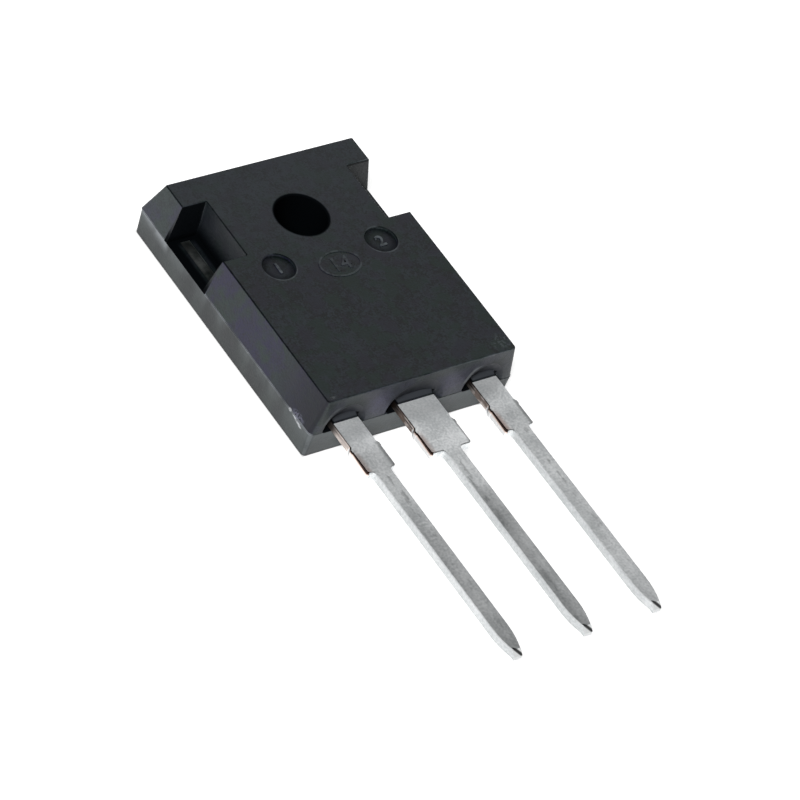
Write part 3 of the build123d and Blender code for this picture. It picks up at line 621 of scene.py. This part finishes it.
def bake_tree(name, tree, values):
    """Runs a geometry tree on an empty mesh and returns the result as a plain mesh object."""
    holder = bpy.data.objects.new(name, bpy.data.meshes.new(name))
    bpy.context.scene.collection.objects.link(holder)
    modifier = holder.modifiers.new("shape", "NODES")
    modifier.node_group = tree
    for item in tree.interface.items_tree:
        if item.item_type == "SOCKET" and item.in_out == "INPUT" and item.name in values:
            modifier[item.identifier] = values[item.name]
    graph = bpy.context.evaluated_depsgraph_get()
    mesh = bpy.data.meshes.new_from_object(holder.evaluated_get(graph))
    holder.modifiers.remove(modifier)
    holder.data = mesh
    mesh.name = name
    return holder


def flash_tree(name, material):
    """Tree that lays an uneven bead along a rounded rectangle, as thin flash on a parting line.

    Width, Length, Centre: size and place of the path. Corner: its corner radius. Bead: radius of the
    bead. Unevenness: share of the radius that comes and goes along the path. Patch: length over which
    it does. Flatness: height of the bead as a share of its width.
    """
    tree = bpy.data.node_groups.new(name, "GeometryNodeTree")
    for label, default in (("Width", 0.01), ("Length", 0.01), ("Corner", 0.001), ("Bead", 0.0001),
                           ("Unevenness", 0.5), ("Patch", 0.001), ("Flatness", 1.0)):
        socket = tree.interface.new_socket(label, in_out="INPUT", socket_type="NodeSocketFloat")
        socket.default_value = default
    tree.interface.new_socket("Centre", in_out="INPUT", socket_type="NodeSocketVector")
    tree.interface.new_socket("Geometry", in_out="OUTPUT", socket_type="NodeSocketGeometry")
    given = add_node(tree, "NodeGroupInput").outputs
    oblong = add_node(tree, "GeometryNodeCurvePrimitiveQuadrilateral",
                      {"Width": given["Width"], "Height": given["Length"]}, mode="RECTANGLE")
    rounded = add_node(tree, "GeometryNodeFilletCurve",
                       {"Curve": oblong.outputs[0], "Radius": given["Corner"], "Count": 6}, mode="POLY")
    even = add_node(tree, "GeometryNodeResampleCurve",
                    {"Curve": rounded.outputs[0], "Length": product(tree, given["Bead"], 3.0)},
                    mode="LENGTH")
    where = add_node(tree, "GeometryNodeInputPosition")
    noise = add_node(tree, "ShaderNodeTexNoise",
                     {"Vector": where.outputs[0], "Scale": combine(tree, "DIVIDE", 1.0, given["Patch"]),
                      "Detail": 2.0})
    swell = add_node(tree, "ShaderNodeMapRange",
                     {"Value": noise.outputs["Fac"], "From Min": 0.4, "From Max": 0.6,
                      "To Min": invert(tree, given["Unevenness"]), "To Max": 1.0})
    section = add_node(tree, "GeometryNodeCurvePrimitiveCircle", {"Resolution": 8, "Radius": given["Bead"]},
                       mode="RADIUS")
    solid = add_node(tree, "GeometryNodeCurveToMesh",
                     {"Curve": even.outputs[0], "Profile Curve": section.outputs[0],
                      "Scale": swell.outputs[0], "Fill Caps": True})
    flat = add_node(tree, "ShaderNodeCombineXYZ", {"X": 1.0, "Y": 1.0, "Z": given["Flatness"]})
    placed = add_node(tree, "GeometryNodeTransform", {"Geometry": solid.outputs[0], "Scale": flat.outputs[0],
                                                      "Translation": given["Centre"]})
    real = add_node(tree, "GeometryNodeRealizeInstances", {0: placed.outputs[0]})
    coloured = add_node(tree, "GeometryNodeSetMaterial", {"Geometry": real.outputs[0], "Material": material})
    add_node(tree, "NodeGroupOutput", {0: coloured.outputs[0]})
    return tree


def numeral(name, text, height, relief, place):
    """Raised plain numerals, centred on a place, that stand out of it by their relief."""
    curve = bpy.data.curves.new(name, "FONT")
    curve.body = text
    curve.size = height / 0.7  # the font's numerals are 0.7 of its size in height
    curve.align_x = "CENTER"
    curve.offset = height * 0.02  # a little bolder than the font
    curve.extrude = relief * 0.7  # the bevel makes up the rest
    curve.bevel_depth = relief * 0.3
    curve.bevel_resolution = 1
    curve.resolution_u = 4
    holder = bpy.data.objects.new(name, curve)
    bpy.context.scene.collection.objects.link(holder)
    graph = bpy.context.evaluated_depsgraph_get()
    mesh = bpy.data.meshes.new_from_object(holder.evaluated_get(graph))
    bpy.data.objects.remove(holder)
    shape = bmesh.new()
    shape.from_mesh(mesh)
    bmesh.ops.remove_doubles(shape, verts=shape.verts, dist=0.0005 * MM)
    bmesh.ops.recalc_face_normals(shape, faces=shape.faces)
    shape.to_mesh(mesh)
    shape.free()
    mesh.transform(Matrix.Translation(Vector(place) - Vector((0, height / 2, 0))))
    piece = bpy.data.objects.new(name, mesh)
    bpy.context.scene.collection.objects.link(piece)
    return piece


# Settings -----------------------------------------------------------------------------------------
class CompoundLook(bpy.types.PropertyGroup):
    shade: FloatVectorProperty(name="Shade", description="Darker colour of the clouds", subtype="COLOR",
                               default=srgb("070c0f")[:3], min=0, max=1)
    tint: FloatVectorProperty(name="Tint", description="Paler colour of the clouds", subtype="COLOR",
                              default=srgb("242a2f")[:3], min=0, max=1)
    skin_violet: FloatVectorProperty(name="Violet skin", description="Violet tinge of the walls",
                                     subtype="COLOR", default=srgb("26243c")[:3], min=0, max=1)
    skin_green: FloatVectorProperty(name="Green skin", description="Green tinge of the walls",
                                    subtype="COLOR", default=srgb("23302d")[:3], min=0, max=1)
    roughness: FloatProperty(name="Roughness", description="Mean roughness of the eroded finish",
                             default=0.5, min=0, max=1)


class TinLook(bpy.types.PropertyGroup):
    dull: FloatVectorProperty(name="Dull", description="Colour of the dulled tin", subtype="COLOR",
                              default=srgb("dce0e1")[:3], min=0, max=1)
    bright: FloatVectorProperty(name="Bright", description="Colour of the clean tin", subtype="COLOR",
                                default=srgb("f9fbfc")[:3], min=0, max=1)
    roughness: FloatProperty(name="Roughness", description="Mean roughness of the plating",
                             default=0.4, min=0, max=1)


class MarkSizes(bpy.types.PropertyGroup):
    number: StringProperty(name="Number", description="Cavity number inside the oval", default="14")
    number_height: FloatProperty(name="Number height", description="Height of the cavity number",
                                 unit="LENGTH", default=1.1 * MM)
    number_relief: FloatProperty(name="Number relief", description="How far the cavity number stands out",
                                 unit="LENGTH", default=0.036 * MM)
    pin_height: FloatProperty(name="Pin numeral height", unit="LENGTH", default=0.85 * MM,
                              description="Height of the numerals in the pin marks")
    pin_relief: FloatProperty(name="Pin numeral relief", description="How far the pin numerals stand out",
                              unit="LENGTH", default=0.07 * MM)
    bead: FloatProperty(name="Flash", description="Thickness of the flash on the parting line", unit="LENGTH",
                        default=0.07 * MM)


class CameraPlace(bpy.types.PropertyGroup):
    azimuth: FloatProperty(name="Azimuth", description="From the leads' side, towards the gate lead",
                           subtype="ANGLE", default=math.radians(48.903))
    elevation: FloatProperty(name="Elevation", description="Above the table", subtype="ANGLE",
                             default=math.radians(43.577))
    roll: FloatProperty(name="Roll", description="Turn about the line of sight", subtype="ANGLE",
                        default=math.radians(21.796))
    lens: FloatProperty(name="Lens", description="Focal length in millimetres", default=207.097)
    eye: FloatVectorProperty(name="Eye", description="Where the camera stands", subtype="TRANSLATION",
                             default=(-159.617 * MM, -152.926 * MM, 202.959 * MM))


# Operators ----------------------------------------------------------------------------------------
class TRANSISTOR_OT_package(bpy.types.Operator):
    """Finish the moulded body and add the flash along its parting line"""
    bl_idname = "transistor.package"
    bl_label = "Moulded Package"

    def execute(self, context):
        compound = moulding_compound(context.scene.compound_look)
        set_finish(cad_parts["moulded_body"], compound)
        bead = context.scene.mark_sizes.bead / 2
        tree = flash_tree("flash bead", compound)
        middle = (BODY_LOW + BODY_HIGH) / 2
        size = BODY_HIGH - BODY_LOW
        # The bead keeps just inside the outline of the body.
        flash = bake_tree("parting_flash", tree, {
            "Width": size.x - 2.1 * bead, "Length": size.y - 2.1 * bead, "Corner": 0.4 * MM, "Bead": bead,
            "Unevenness": 0.85, "Patch": 1.8 * MM, "Flatness": 0.8, "Centre": (middle.x, middle.y, PARTING)})
        finish_piece(flash, compound)
        return {"FINISHED"}


class TRANSISTOR_OT_marks(bpy.types.Operator):
    """Add the cavity number inside the oval and the numerals in the pin marks"""
    bl_idname = "transistor.marks"
    bl_label = "Moulded Marks"

    def execute(self, context):
        sizes = context.scene.mark_sizes
        compound = bpy.data.materials["moulded epoxy compound"]
        number = numeral("cavity_number", sizes.number, sizes.number_height, sizes.number_relief,
                         (*OVAL_CENTRE, FRONT_FACE))
        finish_piece(number, compound)
        for text, side in (("1", -1), ("2", 1)):
            mark = numeral(f"pin_mark_numeral_{text}", text, sizes.pin_height, sizes.pin_relief,
                           (side * PIN_MARK[0], PIN_MARK[1], FRONT_FACE - PIN_MARK_DEPTH))
            finish_piece(mark, compound)
        return {"FINISHED"}


class TRANSISTOR_OT_leads(bpy.types.Operator):
    """Finish the header with its lead and the two outer leads"""
    bl_idname = "transistor.leads"
    bl_label = "Tinned Leads"

    def execute(self, context):
        tin = tin_plate(context.scene.tin_look)
        for name in ("collector_header", "gate_lead", "emitter_lead"):
            set_finish(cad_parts[name], tin)
        return {"FINISHED"}


class TRANSISTOR_OT_inner_pieces(bpy.types.Operator):
    """Finish the dies, their solder and the bond wires"""
    bl_idname = "transistor.inner_pieces"
    bl_label = "Dies and Wires"

    def execute(self, context):
        finishes = {
            "_die": plain_metal("metallised silicon", "8d9097", "a7abb2", 1.2 * MM, 0.3),
            "_solder": plain_metal("soft solder", "6f7072", "8e8f90", 0.4 * MM, 0.5),
            "wire": plain_metal("drawn aluminium wire", "b9babc", "d4d5d6", 0.08 * MM, 0.35),
        }
        for name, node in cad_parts.items():
            for word, material in finishes.items():
                if word in name:
                    set_finish(node, material)
        return {"FINISHED"}


class TRANSISTOR_OT_stage(bpy.types.Operator):
    """Set up the table, the lights and the camera"""
    bl_idname = "transistor.stage"
    bl_label = "Studio"

    def execute(self, context):
        build_table()
        build_lights()
        build_world()
        build_camera(context.scene.camera_place)
        context.scene.view_settings.view_transform = "Standard"
        return {"FINISHED"}


def build_table():
    """A white table that stays white to the camera and in reflections, but keeps the shadow."""
    mesh = bpy.data.meshes.new("table")
    reach = 2.0
    mesh.from_pydata([(-reach, -reach, 0), (reach, -reach, 0), (reach, reach, 0), (-reach, reach, 0)], [],
                     [(0, 1, 2, 3)])
    table = bpy.data.objects.new("table", mesh)
    bpy.context.scene.collection.objects.link(table)
    material = bpy.data.materials.new("white table")
    material.use_nodes = True
    tree = material.node_tree
    tree.nodes.clear()
    rays = add_node(tree, "ShaderNodeLightPath").outputs
    seen, mirrored = 0.74, 0.6
    glow = total(tree, product(tree, rays["Is Camera Ray"], seen),
                 product(tree, rays["Is Glossy Ray"], mirrored))
    # No glow under the part, where a real table lies in the dark.
    place = add_node(tree, "ShaderNodeTexCoord").outputs["Object"]
    axes = add_node(tree, "ShaderNodeSeparateXYZ", {0: place}).outputs
    middle = (BODY_LOW + BODY_HIGH) / 2
    half = (BODY_HIGH - BODY_LOW) / 2
    sides = []
    for number in (0, 1):
        away = combine(tree, "ABSOLUTE", combine(tree, "SUBTRACT", axes[number], middle[number]))
        sides.append(combine(tree, "SUBTRACT", away, half[number]))
    outside = ramp(tree, combine(tree, "MAXIMUM", *sides), -0.3 * MM, 0.1 * MM)
    white = add_node(tree, "ShaderNodeEmission",
                     {"Color": (1, 1, 1, 1), "Strength": product(tree, outside, glow)})
    diffuse = add_node(tree, "ShaderNodeBsdfDiffuse", {"Color": srgb("dcdcdc")})
    both = add_node(tree, "ShaderNodeAddShader", {0: diffuse.outputs[0], 1: white.outputs[0]})
    add_node(tree, "ShaderNodeOutputMaterial", {0: both.outputs[0]})
    mesh.materials.append(material)


def build_lights():
    """A broad soft box behind the part, and a fill panel beside the camera."""
    for name, place, size, power in (("soft_box", (0.435, 0.381, 0.553), 0.45, 0.6),
                                     ("fill_panel", (-0.53, -0.3, 0.66), 0.25, 8.0)):
        lamp = bpy.data.lights.new(name, "AREA")
        lamp.size = size
        lamp.energy = power
        panel = bpy.data.objects.new(name, lamp)
        panel.location = place
        panel.rotation_euler = (-Vector(place)).to_track_quat("-Z", "Y").to_euler()
        panel.visible_glossy = name == "soft_box"
        bpy.context.scene.collection.objects.link(panel)


def build_world():
    """A dim room, and white to the camera."""
    world = bpy.data.worlds.new("studio")
    bpy.context.scene.world = world
    world.use_nodes = True
    tree = world.node_tree
    tree.nodes.clear()
    camera = add_node(tree, "ShaderNodeLightPath").outputs["Is Camera Ray"]
    room = 0.14
    level = combine(tree, "MAXIMUM", room, camera)
    sky = add_node(tree, "ShaderNodeBackground", {"Color": (1.0, 1.0, 1.0, 1.0), "Strength": level})
    add_node(tree, "ShaderNodeOutputWorld", {0: sky.outputs[0]})


def build_camera(place):
    """A long lens that looks down on the part from beside its leads."""
    lens = bpy.data.cameras.new("camera")
    lens.lens = place.lens
    lens.sensor_width = 36.0
    lens.clip_start = 0.01
    camera = bpy.data.objects.new("camera", lens)
    ahead = Vector((math.sin(place.azimuth) * math.cos(place.elevation),
                    math.cos(place.azimuth) * math.cos(place.elevation), -math.sin(place.elevation)))
    turn = ahead.to_track_quat("-Z", "Y").to_matrix() @ Matrix.Rotation(place.roll, 3, "Z")
    camera.matrix_world = Matrix.Translation(place.eye) @ turn.to_4x4()
    bpy.context.scene.collection.objects.link(camera)
    bpy.context.scene.camera = camera


class TRANSISTOR_PT_panel(bpy.types.Panel):
    """Lists the steps"""
    bl_idname = "TRANSISTOR_PT_panel"
    bl_label = "Transistor"
    bl_space_type = "VIEW_3D"
    bl_region_type = "UI"
    bl_category = "Transistor"

    def draw(self, context):
        for step in STEPS:
            self.layout.operator(step.bl_idname)
        for group, _ in SETTINGS:
            box = self.layout.box()
            for name in getattr(context.scene, group).__annotations__:
                box.prop(getattr(context.scene, group), name)


STEPS = (TRANSISTOR_OT_package, TRANSISTOR_OT_marks, TRANSISTOR_OT_leads, TRANSISTOR_OT_inner_pieces,
         TRANSISTOR_OT_stage)
SETTINGS = (("compound_look", CompoundLook), ("tin_look", TinLook), ("mark_sizes", MarkSizes),
            ("camera_place", CameraPlace))
CLASSES = (*(kind for _, kind in SETTINGS), *STEPS, TRANSISTOR_PT_panel)


def register():
    for kind in CLASSES:
        bpy.utils.register_class(kind)
    for name, kind in SETTINGS:
        setattr(bpy.types.Scene, name, PointerProperty(type=kind))


def unregister():
    for name, _ in SETTINGS:
        delattr(bpy.types.Scene, name)
    for kind in reversed(CLASSES):
        bpy.utils.unregister_class(kind)


def main():
    register()
    bpy.ops.transistor.package()
    bpy.ops.transistor.marks()
    bpy.ops.transistor.leads()
    bpy.ops.transistor.inner_pieces()
    bpy.ops.transistor.stage()


if __name__ == "__main__":
    main()
